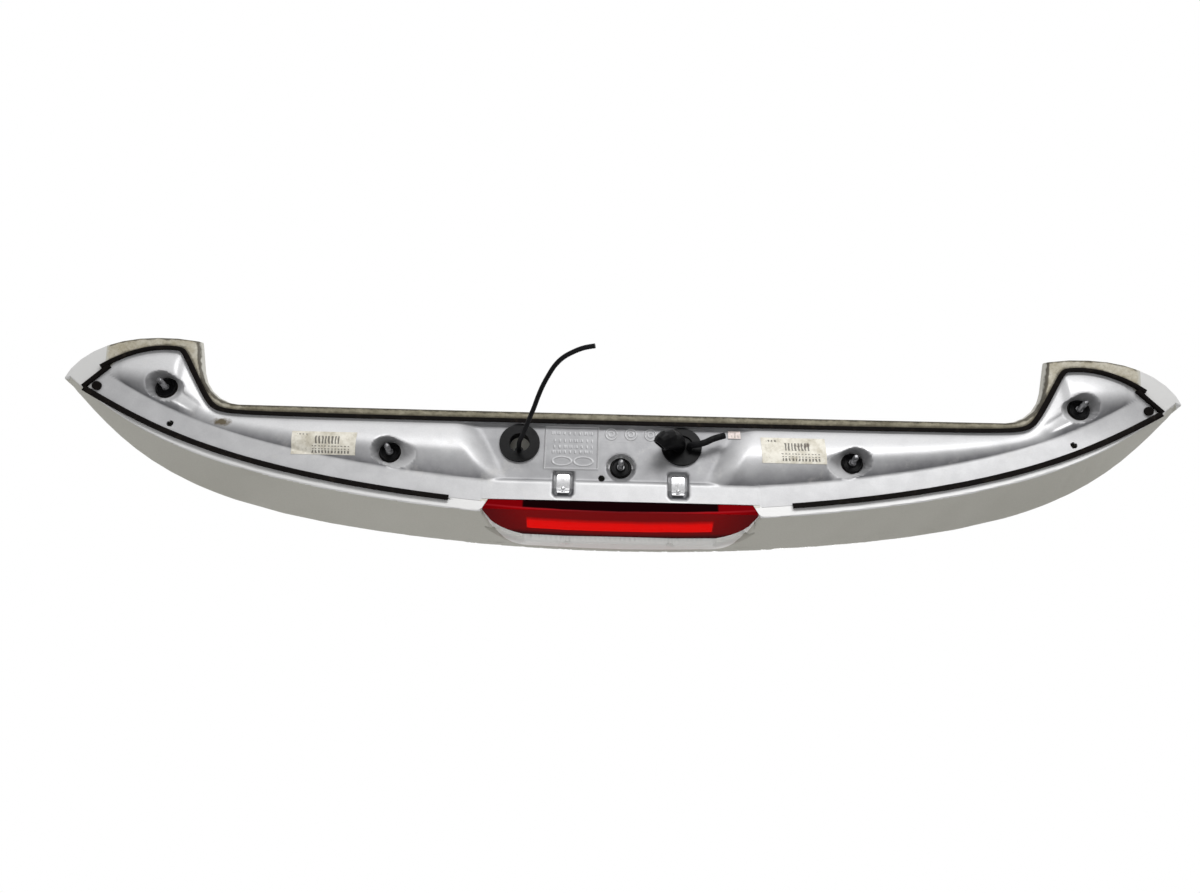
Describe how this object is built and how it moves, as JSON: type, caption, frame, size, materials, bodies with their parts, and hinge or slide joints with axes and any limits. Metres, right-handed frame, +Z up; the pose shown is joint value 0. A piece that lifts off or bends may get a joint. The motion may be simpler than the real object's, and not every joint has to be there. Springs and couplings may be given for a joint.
{
  "type": "car rear spoiler",
  "caption": "Silver hatchback roof spoiler: bowed painted shell with two horns, inner panel, red high stop lamp, fixing studs, foam seals, grommets and washer hose.",
  "frame": {"origin": "on the middle stud's axis, where its pressed rubber base meets the tailgate", "axes": "+X to the car's right along the spoiler, +Y forward towards the roof, +Z up through the top skin"},
  "size_m": [1.1824, 0.2183, 0.124],
  "materials": {
    "silver_paint": "silver metallic paint over plastic",
    "silver_panel": "thin silver paint, satin",
    "foam": "closed-cell foam",
    "rubber": "moulded rubber",
    "steel": "zinc plated",
    "red_lens": "clear red acrylic",
    "black_plastic": "black housing",
    "red_reflector": "bright reflector",
    "board": "circuit board",
    "diode": "light diode",
    "tape": "cloth tape over wire",
    "paper": "worn cream paper label",
    "pink_paper": "small worn sticker"
  },
  "bodies": {
    "root": {"outer_skin": "silver_paint", "inner_panel": "silver_panel", "front_seal": "foam", "rear_seal_right": "foam", "rear_seal_left": "foam", "end_seal_right": "foam", "end_seal_left": "foam", "tip_pads": "foam", "stud_bases": "rubber", "stud_washers": "foam", "mounting_studs": "steel", "stop_lamp_lens": "red_lens", "stop_lamp_housing": "black_plastic", "stop_lamp_reflector": "red_reflector", "stop_lamp_board": "board", "stop_lamp_leds": "diode", "lamp_clip_right": "steel", "lamp_clip_left": "steel", "hose_grommet": "rubber", "washer_hose": "rubber", "wiring_grommet": "rubber", "wiring_boot": "rubber", "wiring_tail": "tape", "lamp_lead": "tape", "label_right": "paper", "label_left": "paper", "small_sticker": "pink_paper"}
  },
  "joints": []
}
